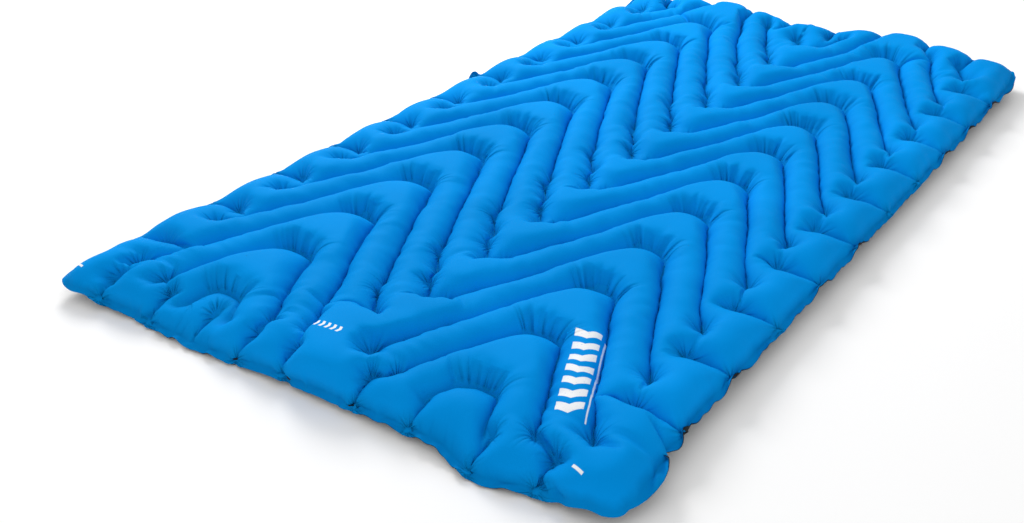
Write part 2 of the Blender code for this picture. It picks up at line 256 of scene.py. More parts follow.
def weld_lines():
    lines = straight_welds()
    for side in (1, -1):
        for index in CHEVRONS:
            lines += [resample(line, 0.013) for line in chevron(side, index)]
    return lines


# ---- flat cut pattern ----


def cut_pattern(plan):
    """Where each point of the inflated layout lies on the flat fabric.

    The chevron columns are wider when flat. The legs keep their length, so their slope changes, and
    the ends are gathered less.
    """
    across = abs(plan[:, 0])
    lane = COLUMN_OFFSET - CHEVRON_HALF_WIDTH
    column = np.clip(across - lane, 0, 2 * CHEVRON_HALF_WIDTH)
    wide = SIDE_SCALE * (across - column) + COLUMN_SCALE * column
    from_end = np.clip((LENGTH / 2 - abs(plan[:, 1])) / END_ZONE, 0, 1)
    inside = smoothstep(from_end)
    x = np.sign(plan[:, 0]) * (inside * wide + (1 - inside) * END_SCALE * across)
    off_centre = np.minimum(abs(across - COLUMN_OFFSET), CHEVRON_HALF_WIDTH)
    lean = np.hypot(off_centre, 0.018) - 0.11
    y = LENGTH_SCALE * plan[:, 1] + LEG_SHEAR * lean * inside
    return np.stack([x, y + np.sign(plan[:, 1]) * END_EXTRA * (1 - from_end)], 1)


def fill_points(fixed, rng):
    """Jittered points over the flat pattern, clear of the welds and the margin."""
    rows = int(LENGTH * FLAT_LONGER / (COARSE_STEP * ROW_STEP)) + 2
    columns = int(WIDTH * FLAT_WIDER / COARSE_STEP) + 2
    column, row = np.meshgrid(np.arange(columns), np.arange(rows))
    x = (column + 0.5 * (row % 2)) * COARSE_STEP / FLAT_WIDER - WIDTH / 2
    y = row * COARSE_STEP * ROW_STEP / FLAT_LONGER - LENGTH / 2
    points = np.stack([x.ravel(), y.ravel()], 1)
    points += rng.uniform(-JITTER, JITTER, points.shape) * COARSE_STEP
    points = points[corner_distance(points) < CORNER_RADIUS - FLANGE - 0.35 * COARSE_STEP]
    flat, welds = cut_pattern(points), cut_pattern(fixed)
    nearest = np.array([((welds - p) ** 2).sum(1).min() for p in flat])
    return points[nearest > (0.62 * COARSE_STEP) ** 2]


def pattern_mesh(rng):
    """The coarse sheet: layout positions, flat positions, triangles and weld edges."""
    lines = weld_lines()
    rim, seam = outline(0.0), outline(FLANGE)
    for line in lines:
        near = np.argmin(((seam - line[0]) ** 2).sum(1))
        if np.hypot(*(seam[near] - line[0])) < 0.010:
            seam[near] = line[0]
    points = []
    edges = []
    for line in lines:
        edges += [(len(points) + i, len(points) + i + 1) for i in range(len(line) - 1)]
        points += list(line)
    for loop in (rim, seam):
        edges += [(len(points) + i, len(points) + (i + 1) % len(loop)) for i in range(len(loop))]
        points += list(loop)
    fixed = np.array(points)
    plan = np.concatenate([fixed, fill_points(fixed, rng)])
    verts, mesh_edges, faces, sources, edge_sources, _ = delaunay_2d_cdt(
        [Vector(p) for p in cut_pattern(plan)], edges, [], 0, 1e-6
    )
    flat = np.array([(p.x, p.y) for p in verts])
    triangles = np.array([face for face in faces if len(face) == 3])
    plan = np.array([plan[source[0]] for source in sources])
    welds = np.array([sorted(edge) for edge, source in zip(mesh_edges, edge_sources) if source])
    return plan, flat, triangles, welds


def subdivide(arrays, triangles, welds):
    """Splits every triangle in four. Arrays are per vertex, and their values are averaged."""
    count = len(arrays[0])
    pairs = np.sort(np.concatenate([triangles[:, [0, 1]], triangles[:, [1, 2]], triangles[:, [2, 0]]]), 1)
    keys, which = np.unique(pairs[:, 0].astype(np.int64) * count + pairs[:, 1], return_inverse=True)
    ends = np.stack([keys // count, keys % count], 1)
    a, b, c = triangles.T
    ab, bc, ca = which.reshape(3, -1) + count
    split = ((a, ab, ca), (ab, b, bc), (ca, bc, c), (ab, bc, ca))
    finer = np.concatenate([np.stack(corner, 1) for corner in split])
    middle = np.searchsorted(keys, welds[:, 0].astype(np.int64) * count + welds[:, 1]) + count
    halves = [np.stack([welds[:, 0], middle], 1), np.stack([welds[:, 1], middle], 1)]
    arrays = [np.concatenate([x, (x[ends[:, 0]] + x[ends[:, 1]]) / 2]) for x in arrays]
    return arrays, finer, np.sort(np.concatenate(halves), 1)


# ---- inflation ----


class Gather:
    """Sums rows of values into the vertices that own them."""

    def __init__(self, owners, count):
        self.order = np.argsort(owners, kind="stable")
        ordered = owners[self.order]
        self.starts = np.flatnonzero(np.concatenate([[True], ordered[1:] != ordered[:-1]]))
        self.owners = ordered[self.starts]
        self.count = count

    def __call__(self, values):
        total = np.zeros((self.count, 3), values.dtype)
        total[self.owners] = np.add.reduceat(values[self.order], self.starts, axis=0)
        return total


class Sheet:
    """One level of the inflating top sheet. Heights are from the weld plane."""

    def __init__(self, plan, flat, triangles, welds):
        count = len(plan)
        self.triangles = triangles
        reach = corner_distance(plan)
        self.flange = past_seam(plan)
        welded = np.zeros(count, bool)
        welded[welds.ravel()] = True
        self.pinned = welded & ~self.flange
        self.held = np.flatnonzero(welded)
        self.goal = plan[self.held].astype(np.float32)
        at_rim = reach[self.held] > CORNER_RADIUS - FLANGE - 1e-3
        self.hold = np.where(at_rim, RIM_HOLD, WELD_HOLD).astype(np.float32)[:, None]
        self.free = (~self.pinned & ~self.flange).astype(np.float32)[:, None]
        self.find_edges(plan, flat, welds, count)
        self.to_verts = Gather(triangles.T.ravel(), count)

    def find_edges(self, plan, flat, welds, count):
        """Edges, and for bending the pairs of corners that face each other across an edge."""
        t = self.triangles
        pairs = np.sort(np.concatenate([t[:, [0, 1]], t[:, [1, 2]], t[:, [2, 0]]]), 1)
        facing = np.concatenate([t[:, 2], t[:, 0], t[:, 1]])
        keys = pairs[:, 0].astype(np.int64) * count + pairs[:, 1]
        order = np.argsort(keys, kind="stable")
        keys, facing = keys[order], facing[order]
        first = np.flatnonzero(np.concatenate([[True], keys[1:] != keys[:-1]]))
        self.edges = np.stack([keys[first] // count, keys[first] % count])
        shared = np.flatnonzero(keys[1:] == keys[:-1])
        weld_keys = welds[:, 0].astype(np.int64) * count + welds[:, 1]
        shared = shared[~np.isin(keys[shared], weld_keys)]
        self.wings = np.stack([facing[shared], facing[shared + 1]])
        self.edge_length = self.flat_length(flat, self.edges)
        along = flat[self.edges[1]] - flat[self.edges[0]]
        turn = np.arctan2(along[:, 1], along[:, 0])
        bias = BIAS_GIVE * np.sin(2 * turn) ** 2
        self.longest = (self.edge_length * (1 + STRETCH_GIVE + bias)).astype(np.float32)
        in_lane = 1 - smoothstep((abs(plan[self.edges[0], 0]) - PUCKER_REACH) / PUCKER_FADE)
        puckers = LANE_GIVE * in_lane * np.sin(turn) ** 2
        self.shortest = (self.edge_length * (1 - PRESS_GIVE - bias - puckers)).astype(np.float32)
        self.wing_length = self.flat_length(flat, self.wings)
        on_flange = self.flange[self.wings[0]] | self.flange[self.wings[1]]
        self.wing_hold = np.where(on_flange, FLANGE_BENDING, BENDING).astype(np.float32)
        self.share = np.bincount(self.edges.ravel(), minlength=count).astype(np.float32)[:, None]
        self.from_edges = Gather(self.edges.ravel(), count)
        self.from_wings = Gather(self.wings.ravel(), count)

    @staticmethod
    def flat_length(flat, pairs):
        return np.linalg.norm(flat[pairs[0]] - flat[pairs[1]], axis=1).astype(np.float32)

    def normals(self, x):
        a, b, c = (x[self.triangles[:, i]] for i in range(3))
        area = np.cross(b - a, c - a)
        total = self.to_verts(np.concatenate([area, area, area]))
        return total / (np.linalg.norm(total, axis=1, keepdims=True) + 1e-12)

    def pull(self, x, pairs, limits, tension, compression, gather):
        """Moves each pair's ends towards the range between the shortest and the longest length."""
        d = x[pairs[1]] - x[pairs[0]]
        length = np.sqrt((d * d).sum(1)) + np.float32(1e-9)
        over = np.maximum(length - limits[1], 0) * tension
        under = np.minimum(length - limits[0], 0) * compression
        move = d * ((over + under) / length * np.float32(0.5))[:, None]
        return gather(np.concatenate([move, -move])) / self.share

    def inflate(self, x, steps, pressure, compression, guide):
        x = x.astype(np.float32)
        speed = np.zeros_like(x)
        edge_tension = np.float32(1.6)
        edge_compression = np.float32(1.6 * compression)
        in_plane = (self.shortest, self.longest)
        bending = (self.wing_length, self.wing_length)
        for step in range(steps):
            if step % LIFT_EVERY == 0:
                push = self.normals(x) * self.free * np.float32(pressure)
            before = x
            x = x + speed * np.float32(SLOWING) + push
            x = x + self.pull(x, self.edges, in_plane, edge_tension, edge_compression, self.from_edges)
            x = x + self.pull(x, self.wings, bending, np.float32(0), self.wing_hold, self.from_wings)
            x[self.pinned, 2] = 0
            x[self.held, :2] += self.hold * np.float32(guide) * (self.goal - x[self.held, :2])
            x[:, 2] = np.where(self.flange, x[:, 2], np.maximum(x[:, 2], 0))
            speed = x - before
        return self.calm_flange(x).astype(float)

    def calm_flange(self, x, rounds=4):
        """Evens out the flange, which is too stiff to crumple between neighbouring vertices."""
        both = self.flange[self.edges[0]] & self.flange[self.edges[1]]
        a, b = self.edges[:, both]
        gather = Gather(np.concatenate([a, b]), len(x))
        weight = np.bincount(np.concatenate([a, b]), minlength=len(x))[:, None]
        for _ in range(rounds):
            mean = gather(np.concatenate([x[b], x[a]])) / np.maximum(weight, 1)
            x = np.where(self.flange[:, None] & (weight > 1), 0.5 * x + 0.5 * mean, x)
        return x


def start_shape(plan, welds):
    """The layout, domed between the welds."""
    seam = plan[np.unique(welds)]
    gap = np.array([math.sqrt(((seam - p) ** 2).sum(1).min()) for p in plan])
    dome = DOME_HEIGHT * np.sqrt(1 - (1 - np.clip(gap / DOME_REACH, 0, 1)) ** 2)
    dome[past_seam(plan)] = 0
    return np.concatenate([plan, dome[:, None]], 1)


def inflated_sheet():
    rng = np.random.default_rng(SEED)
    plan, flat, triangles, welds = pattern_mesh(rng)
    x = start_shape(plan, welds)
    levels = LEVELS
    for number, (steps, pressure, compression, guide) in enumerate(levels):
        if number:
            (plan, flat, x), triangles, welds = subdivide([plan, flat, x], triangles, welds)
        x[:, 2] += rng.uniform(-1, 1, len(x)) * START_NOISE
        x = Sheet(plan, flat, triangles, welds).inflate(x, steps, pressure, compression, guide)
    return plan, flat, triangles, welds, x


# ---- the two sheets ----


def valve_axes():
    """Centre and outward axis of each valve, from its twist joint."""
    joints = frame["record"]["behaviour"]["joints"]
    twists = [joint for joint in joints if joint["name"].endswith("_twist")]
    return [(np.array(joint["pos_m"]), np.array(joint["axis"])) for joint in twists]


def held_back(value, start, limit):
    """The value, eased towards the limit from the start onwards."""
    room = limit - start
    return np.minimum(value, start) + room * (1 - np.exp(-np.maximum(0, value - start) / room))


def column_share(plan):
    """1 along the chevrons' bends, 0 in the centre lane and at the rails."""
    across = np.clip((abs(plan[:, 0]) - COLUMN_OFFSET) / 0.27, -1, 1)
    return np.cos(across * math.pi / 2) ** 2


def seam_droop(plan):
    """How far the edge hangs below the weld plane. The foot lies on the floor, less so at the valves."""
    side = 1 - smoothstep((WIDTH / 2 - abs(plan[:, 0])) / DROOP_REACH)
    foot = 1 - smoothstep((LENGTH / 2 + plan[:, 1]) / DROOP_REACH)
    head = 1 - smoothstep((LENGTH / 2 - plan[:, 1]) / DROOP_REACH)
    for centre, _ in valve_axes():
        near = np.linalg.norm(plan - centre[:2], axis=1)
        foot = foot * (VALVE_DROOP + (1 - VALVE_DROOP) * smoothstep((near - VALVE_NEAR) / VALVE_FADE))
    side_droop = np.where(plan[:, 0] < 0, LEFT_DROOP, RIGHT_DROOP) * side
    foot_droop = FOOT_DROOP * foot * (0.6 + 0.4 * np.minimum(1, foot_lobes(plan) / FULL_LOBE))
    return foot_droop + HEAD_DROOP * head + side_droop * (1 - foot) * (1 - head)


def foot_lobes(plan):
    """How far the foot bulges out past its straight line."""
    return sum(depth * np.exp(-(((plan[:, 0] - centre) / half) ** 2)) for centre, half, depth in FOOT_LOBES)


def end_bulge(plan):
    """How far the ends bulge past the straight outline, most at the bends, and the foot corners spread."""
    foot = smoothstep((-plan[:, 1] - 0.83) / 0.11)
    head = smoothstep((plan[:, 1] - 0.66) / 0.28)
    most = np.where(plan[:, 0] < 0, HEAD_BULGE[-1], HEAD_BULGE[1])
    shift = np.zeros((len(plan), 3))
    shift[:, 1] = most * head * (0.4 + 0.6 * column_share(plan)) - foot * foot_lobes(plan)
    for side, (dx, dy, radius) in zip((-1, 1), CORNER_SPREAD):
        reach = np.hypot(plan[:, 0] - side * WIDTH / 2, plan[:, 1] + LENGTH / 2)
        shift[:, :2] += (1 - smoothstep(reach / radius))[:, None] * np.array((dx, dy))
    return shift


def rail_tips(plan):
    """The edge turns up to a tip at the outer end of each rail weld."""
    lift = np.zeros(len(plan))
    for side, (first, count), height in ((1, RIGHT_RAIL, RIGHT_TIPS), (-1, LEFT_RAIL, LEFT_TIPS)):
        from_edge = WIDTH / 2 - side * plan[:, 0]
        for index in range(count):
            y = -LENGTH / 2 + first + index * CHEVRON_PITCH
            lift += height * np.exp(-((from_edge / 0.028) ** 2) - ((plan[:, 1] - y) / 0.022) ** 2)
    return lift


def tuck_under(plan, height):
    """Draws the bottom's pillows in from the edge, so that they stay under the flange."""
    edge = np.array([WIDTH / 2, LENGTH / 2])
    near = 1 - smoothstep((edge - abs(plan)) / 0.06)
    return np.sign(plan) * near * (0.012 * smoothstep(height / 0.012))[:, None]


def ease_corners(plan, x, triangles, rounds=8):
    """Irons out the sharpest folds round the valves."""
    gather = Gather(triangles.T.ravel(), len(x))
    uses = 3 * np.bincount(triangles.ravel(), minlength=len(x))[:, None]
    apart = [np.linalg.norm(plan - centre[:2], axis=1) for centre, _ in valve_axes()]
    share = 1 - smoothstep((np.min(apart, axis=0) - IRON_REACH) / IRON_FADE)
    for _ in range(rounds):
        face = x[triangles].sum(1)
        x = x + share[:, None] * (gather(np.concatenate([face, face, face])) / uses - x)
    return x


def smooth_normals(points, triangles, rounds=4):
    """Vertex normals, evened out over their neighbours."""
    gather = Gather(triangles.T.ravel(), len(points))
    a, b, c = (points[triangles[:, i]] for i in range(3))
    face = np.cross(b - a, c - a)
    for _ in range(rounds):
        total = gather(np.concatenate([face, face, face]))
        normal = total / (np.linalg.norm(total, axis=1, keepdims=True) + 1e-12)
        face = normal[triangles].sum(1)
    return normal


def sheet_shapes(plan, x, triangles):
    """The top and the bottom sheet in the frame's coordinates."""
    on_flange = past_seam(plan)
    x = ease_corners(plan, x, triangles)
    full = CREST_SCALE + HEAD_FULLNESS * smoothstep((plan[:, 1] - 0.80) / 0.08)
    full += LEFT_FULLNESS * smoothstep((-plan[:, 0] - 0.49) / 0.05)
    height = np.where(on_flange, x[:, 2], held_back(x[:, 2] * full, CREST_SOFT, CREST_LIMIT))
    x = x + end_bulge(plan)
    seam = WELD_HEIGHT - seam_droop(plan) + rail_tips(plan)
    above = seam + height
    below = seam + np.where(on_flange, height, -height)
    above, below = (0.5 * (z + np.hypot(z, 0.004)) for z in (above, below))
    above = held_back(above, TOP_SOFT, TOP_LIMIT)
    top = np.stack([x[:, 0], x[:, 1], above + SHEET_GAP], 1)
    bottom = np.stack([x[:, 0], x[:, 1], np.minimum(below, above - LEAST_GAP)], 1)
    bottom[:, :2] -= tuck_under(plan, height * ~on_flange)
    normal = smooth_normals(top, triangles)
    inset = CORNER_RADIUS - FLANGE - corner_distance(plan)
    bottom = np.where(inset[:, None] < SEAM_TOLERANCE, top - FLANGE_THICKNESS * normal, bottom)
    for centre, axis in valve_axes():
        share = smoothstep(inset / PATCH_EASE[-1 if centre[0] < 0 else 1])[:, None]
        bottom = bottom + share * (flatten_patch(bottom, centre, axis) - bottom)
    return top, bottom


def flatten_patch(points, centre, axis):
    """Eases the sheet on to the flat patch that carries a valve."""
    offset = points - centre
    along = offset @ axis
    radial = np.linalg.norm(offset - along[:, None] * axis, axis=1)
    weight = 1 - smoothstep((radial - PATCH_RADIUS) / (PATCH_BLEND - PATCH_RADIUS))
    weight = np.where(abs(along) < 0.035, weight, 0)
    return points - (weight * along)[:, None] * axis


def open_hole(points, triangles, centre, axis):
    """Snaps a ring of vertices between the valve's barrel and its collar, and drops the faces inside."""
    offset = points - centre
    along = offset @ axis
    across = offset - along[:, None] * axis
    radial = np.linalg.norm(across, axis=1)
    near = abs(along) < 0.004
    inside = near & (radial < HOLE_RADIUS)
    kept = triangles[~inside[triangles].all(1)]
    edge = np.zeros(len(points), bool)
    edge[kept[inside[kept].any(1)].ravel()] = True
    edge &= inside
    points = points.copy()
    points[edge] = centre + across[edge] * (HOLE_RADIUS / np.maximum(radial[edge], 1e-6))[:, None]
    return points, kept


def weld_gaps(count, welds):
    """0 at each vertex on a weld and 10 mm at all others. Faces next to a weld shade between them."""
    gap = np.full(count, 0.01)
    gap[np.unique(welds)] = 0.0
    return gap


def crease_centres():
    """Where fans of fine creases start: the chevrons' bends, then the free ends of all welds.

    Each row is the centre's X and Y, the radius where the fan starts, and how densely it is creased.
    """
    rows = []
    for side in (1, -1):
        for index in CHEVRONS:
            lines = chevron(side, index)
            sharp = -LENGTH / 2 + LEG_END[side] + index * CHEVRON_PITCH
            sharp += CHEVRON_HALF_WIDTH / math.tan(LEG_ANGLE)
            bend = sharp - BEND_RADIUS / math.sin(LEG_ANGLE)
            if len(lines) == 1:
                rows.append((side * COLUMN_OFFSET, bend, BEND_RADIUS, BEND_FAN[1]))
            for line in lines:
                rows += [(*line[end], 0.0, END_FAN[1]) for end in (0, -1)]
    for line in straight_welds():
        rows += [(*end, 0.0, END_FAN[1]) for end in (line[0], line[-1])]
    return np.array(rows)


def creases(plan, triangles):
    """For each vertex: the offset from its fan's centre, the fan's seed and density, and the depth."""
    rows = crease_centres()
    offset = plan[:, None, :] - rows[None, :, :2]
    radius = np.linalg.norm(offset, axis=2) - rows[:, 2]
    angle = abs(np.arctan2(offset[:, :, 0], offset[:, :, 1]))
    bend = rows[:, 2] > 0
    fan = np.where(bend, 1 - smoothstep((angle - 0.75) / 0.4), 1)
    reach = np.where(bend, BEND_FAN[0], END_FAN[0])
    depth = smoothstep(radius / 0.008) * (1 - smoothstep(radius / reach)) * fan
    depth = np.where(radius > 0, depth, 0) * np.where(bend, 1.5, 1)
    each = np.arange(len(plan))
    share = np.where(radius > 0, radius / reach, 2 - 20 * radius / reach)
    best, second = np.argsort(share, axis=1)[:, :2].T
    lead = share[each, second] - share[each, best]
    depth = depth[each, best] * smoothstep(lead / 0.4)
    shared = np.ptp(best[triangles], axis=1) > 0
    depth[triangles[shared].ravel()] = 0
    place = np.concatenate([offset[each, best], best[:, None] * 3.7], 1)
    return place, rows[best, 3], depth


def sheet_object(name, points, flat, weld_gap, rise, fans, triangles, material):
    mesh = bpy.data.meshes.new(name)
    mesh.vertices.add(len(points))
    mesh.vertices.foreach_set("co", points.astype(np.float32).ravel())
    mesh.loops.add(triangles.size)
    mesh.loops.foreach_set("vertex_index", triangles.ravel().astype(np.int32))
    mesh.polygons.add(len(triangles))
    mesh.polygons.foreach_set("loop_start", np.arange(0, triangles.size, 3, dtype=np.int32))
    mesh.update(calc_edges=True)
    mesh.validate()
    flat_map = mesh.uv_layers.new(name="flat_metres")
    flat_map.data.foreach_set("uv", flat[triangles.ravel()].astype(np.float32).ravel())
    place, density, depth = fans
    fields = (("weld_gap", weld_gap), ("rise", rise), ("crease_density", density), ("crease_depth", depth))
    for label, values in fields:
        layer = mesh.attributes.new(label, "FLOAT", "POINT")
        layer.data.foreach_set("value", values.astype(np.float32))
    layer = mesh.attributes.new("crease_place", "FLOAT_VECTOR", "POINT")
    layer.data.foreach_set("vector", place.astype(np.float32).ravel())
    mesh.shade_smooth()
    mesh.materials.append(material)
    piece = bpy.data.objects.new(name, mesh)
    bpy.context.scene.collection.objects.link(piece)
    return piece


# ---- materials ----


class Nodes:
    """Short calls for building one material's node tree."""

    def __init__(self, name):
        self.material = bpy.data.materials.new(name)
        self.material.use_nodes = True
        self.tree = self.material.node_tree
        self.shader = self.tree.nodes["Principled BSDF"]

    def link(self, value, socket):
        if isinstance(value, bpy.types.NodeSocket):
            self.tree.links.new(value, socket)
        else:
            socket.default_value = value

    def node(self, kind, **inputs):
        node = self.tree.nodes.new(kind)
        for name, value in inputs.items():
            self.link(value, node.inputs[name.replace("_", " ")])
        return node

    def math(self, operation, a, b=0.0, c=0.0):
        node = self.tree.nodes.new("ShaderNodeMath")
        node.operation = operation
        for socket, value in zip(node.inputs, (a, b, c)):
            self.link(value, socket)
        return node.outputs[0]

    def noise(self, coordinates, scale, detail=2.0, roughness=0.5):
        node = self.node("ShaderNodeTexNoise", Vector=coordinates, Scale=scale, Detail=detail)
        node.inputs["Roughness"].default_value = roughness
        return node.outputs["Fac"]

    def ramp(self, value, low, high):
        """0 at low to 1 at high."""
        node = self.tree.nodes.new("ShaderNodeMapRange")
        for name, setting in (("Value", value), ("From Min", low), ("From Max", high)):
            self.link(setting, node.inputs[name])
        return node.outputs[0]

    def mix(self, share, a, b):
        node = self.tree.nodes.new("ShaderNodeMix")
        node.data_type = "RGBA"
        self.link(share, node.inputs["Factor"])
        self.link(a, node.inputs["A"])
        self.link(b, node.inputs["B"])
        return node.outputs["Result"]

    def bump(self, height, distance, strength=1.0, normal=None):
        node = self.node("ShaderNodeBump", Height=height, Distance=distance, Strength=strength)
        if normal is not None:
            self.link(normal, node.inputs["Normal"])
        return node.outputs["Normal"]

    def separate(self, vector):
        node = self.node("ShaderNodeSeparateXYZ", Vector=vector)
        return node.outputs["X"], node.outputs["Y"]


def weave_height(nodes, flat_map, pitch):
    """Plain weave: two crossed sets of threads, the pitch apart."""
    u, v = nodes.separate(flat_map)
    turn = 2 * math.pi / pitch
    warp = nodes.math("SINE", nodes.math("MULTIPLY", u, turn))
    weft = nodes.math("SINE", nodes.math("MULTIPLY", v, turn))
    return nodes.math("MULTIPLY_ADD", warp, 0.5, nodes.math("MULTIPLY", weft, 0.5))


def attribute(nodes, name, output="Fac"):
    node = nodes.tree.nodes.new("ShaderNodeAttribute")
    node.attribute_name = name
    return node.outputs[output]


def crease_height(nodes):
    """Sharp creases that fan out from a weld's bend or end, as deep as the crease_depth attribute."""
    place = attribute(nodes, "crease_place", "Vector")
    parts = nodes.node("ShaderNodeSeparateXYZ", Vector=place)
    flat_place = nodes.node("ShaderNodeCombineXYZ", X=parts.outputs["X"], Y=parts.outputs["Y"])
    unit = nodes.tree.nodes.new("ShaderNodeVectorMath")
    unit.operation = "NORMALIZE"
    nodes.link(flat_place.outputs[0], unit.inputs[0])
    scaled = nodes.tree.nodes.new("ShaderNodeVectorMath")
    scaled.operation = "SCALE"
    nodes.link(unit.outputs[0], scaled.inputs[0])
    nodes.link(attribute(nodes, "crease_density"), scaled.inputs["Scale"])
    around = nodes.node("ShaderNodeSeparateXYZ", Vector=scaled.outputs[0])
    sample = nodes.node(
        "ShaderNodeCombineXYZ", X=around.outputs["X"], Y=around.outputs["Y"], Z=parts.outputs["Z"]
    )
    wave = nodes.noise(sample.outputs[0], 1.0, 1.0)
    ridge = nodes.math("ABSOLUTE", nodes.math("MULTIPLY_ADD", wave, 2.0, -1.0))
    sharp = nodes.math("POWER", nodes.math("MINIMUM", nodes.math("MULTIPLY", ridge, 3.2), 1.0), 0.8)
    return nodes.math("MULTIPLY", nodes.math("SUBTRACT", sharp, 1.0), attribute(nodes, "crease_depth"))


def in_frame(nodes, position, origin, direction):
    """Distances along and across a line in plan."""
    x, y = nodes.separate(position)
    dx = nodes.math("SUBTRACT", x, origin[0])
    dy = nodes.math("SUBTRACT", y, origin[1])
    ax, ay = direction
    along = nodes.math("ADD", nodes.math("MULTIPLY", dx, ax), nodes.math("MULTIPLY", dy, ay))
    across = nodes.math("SUBTRACT", nodes.math("MULTIPLY", dy, ax), nodes.math("MULTIPLY", dx, ay))
    return along, across


def within(nodes, value, low, high, soft=0.0004):
    """1 between low and high, with a soft edge."""
    rise = nodes.ramp(value, low - soft, low + soft)
    fall = nodes.ramp(value, high + soft, high - soft)
    return nodes.math("MULTIPLY", rise, fall)


def chevron_print(nodes, position, start, end, width, count, ink, slope):
    """A row of plain white chevrons printed from start to end, each of them whole."""
    length = math.dist(start, end)
    direction = ((end[0] - start[0]) / length, (end[1] - start[1]) / length)
    along, across = in_frame(nodes, position, start, direction)
    side = nodes.math("ABSOLUTE", across)
    phase = nodes.math("MULTIPLY_ADD", side, slope, along)
    fraction = nodes.math("FRACT", nodes.math("DIVIDE", phase, length / count))
    bars = within(nodes, fraction, 0.06, ink, 0.015)
    band = nodes.math("MULTIPLY", within(nodes, phase, 0, length), within(nodes, side, -1, width / 2))
    return nodes.math("MULTIPLY", bars, band)


def line_print(nodes, position, start, end, width, offset=0.0):
    """A plain white line printed beside start to end."""
    length = math.dist(start, end)
    direction = ((end[0] - start[0]) / length, (end[1] - start[1]) / length)
    along, across = in_frame(nodes, position, start, direction)
    low, high = offset - width / 2, offset + width / 2
    return nodes.math("MULTIPLY", within(nodes, along, 0, length), within(nodes, across, low, high))


def top_prints(nodes, position):
    """The white marks: chevrons and a line on a leg by the foot, a small row in the lane, corner ticks."""
    marks = [
        chevron_print(nodes, position, *MAIN_PRINT, 0.044, 7, 0.60, 0.55),
        line_print(nodes, position, *MAIN_PRINT, 0.0022, 0.028),
        chevron_print(nodes, position, (-0.052, -0.857), (0.018, -0.852), 0.014, 6, 0.5, 0.4),
        line_print(nodes, position, (0.512, -0.910), (0.534, -0.917), 0.004),
        line_print(nodes, position, (-0.575, -0.921), (-0.556, -0.926), 0.004),
    ]
    total = marks[0]
    for mark in marks[1:]:
        total = nodes.math("MAXIMUM", total, mark)
    return total


def scaled(color, factor):
    return (*(channel * factor for channel in color), 1)


def fabric_material(name, color, roughness, sheen, prints=False):
    nodes = Nodes(name)
    flat_map = nodes.tree.nodes.new("ShaderNodeUVMap")
    flat_map.uv_map = "flat_metres"
    uv = flat_map.outputs["UV"]
    # seam: 1 within about 1.5 mm of a weld, fading to 0 at 4.5 mm. It darkens the colour there as painted
    # shade on the weld's valley floor, and lowers the roughness of the sealed fabric.
    seam = nodes.ramp(attribute(nodes, "weld_gap"), 0.0045, 0.0015)
    cloudy = nodes.noise(uv, 3.5, 3.0)
    fibre = nodes.noise(uv, 900.0, 2.0)
    light = nodes.math("ADD", nodes.math("MULTIPLY", cloudy, 0.16), nodes.math("MULTIPLY", fibre, 0.10))
    bright = tuple(min(1.0, channel * 1.10 + 0.002) for channel in color)
    dyed = nodes.mix(nodes.ramp(light, 0.07, 0.19), scaled(color, 0.82), (*bright, 1))
    # Painted shade: the colour is darkened low in the valleys, under 18 mm above the weld plane, and along
    # the welds.
    valley = nodes.math("MULTIPLY", nodes.ramp(attribute(nodes, "rise"), 0.018, 0.0), 0.50)
    painted_shade_mask = nodes.math("MAXIMUM", valley, nodes.math("MULTIPLY", seam, 0.5))
    valley_shaded = nodes.mix(painted_shade_mask, dyed, scaled(color, 0.55))
    folds = crease_height(nodes)
    shaded = nodes.math("MINIMUM", nodes.math("MULTIPLY", folds, -0.22), 0.35)
    base = nodes.mix(shaded, valley_shaded, scaled(color, 0.4))
    rough = nodes.math("MULTIPLY_ADD", seam, -0.10, nodes.math("MULTIPLY_ADD", cloudy, 0.08, roughness))
    if prints:
        coordinates = nodes.tree.nodes.new("ShaderNodeTexCoord")
        white = top_prints(nodes, coordinates.outputs["Object"])
        worn = nodes.math("MULTIPLY", white, nodes.ramp(nodes.noise(uv, 260.0, 3.0), 0.22, 0.36))
        base = nodes.mix(worn, base, (0.86, 0.88, 0.90, 1))
        rough = nodes.math("MULTIPLY_ADD", worn, -0.06, rough)
    nodes.link(base, nodes.shader.inputs["Base Color"])
    nodes.link(rough, nodes.shader.inputs["Roughness"])
    nodes.shader.inputs["Sheen Weight"].default_value = sheen
    nodes.shader.inputs["Sheen Roughness"].default_value = 0.5
    nodes.shader.inputs["Sheen Tint"].default_value = (*(min(1, 3 * c) for c in color), 1)
    nodes.shader.inputs["Specular IOR Level"].default_value = 0.012
    nodes.shader.inputs["Specular Tint"].default_value = (*(min(1, 0.1 + 2 * c) for c in color), 1)
    threads = nodes.bump(weave_height(nodes, uv, 0.0009), 0.00006, 0.5)
    rumple = nodes.bump(nodes.noise(uv, 55.0, 3.0, 0.55), 0.0011, 0.35, threads)
    creased = nodes.bump(folds, 0.0035, 1.0, rumple)
    nodes.link(creased, nodes.shader.inputs["Normal"])
    return nodes.material


def moulded_material(name, color, roughness, grain, subsurface=0.0):
    """Moulded plastic, rubber or silicone with a fine grain and handling marks."""
    nodes = Nodes(name)
    coordinates = nodes.tree.nodes.new("ShaderNodeTexCoord").outputs["Object"]
    fine = nodes.noise(coordinates, 2600.0, 2.0)
    broad = nodes.noise(coordinates, 160.0, 3.0)
    nodes.link(nodes.mix(broad, scaled(color, 0.75), (*color, 1)), nodes.shader.inputs["Base Color"])
    nodes.link(nodes.math("MULTIPLY_ADD", broad, 0.16, roughness - 0.08), nodes.shader.inputs["Roughness"])
    nodes.shader.inputs["Subsurface Weight"].default_value = subsurface
    nodes.shader.inputs["Subsurface Scale"].default_value = 0.002
    nodes.link(nodes.bump(fine, grain, 0.6), nodes.shader.inputs["Normal"])
    return nodes.material


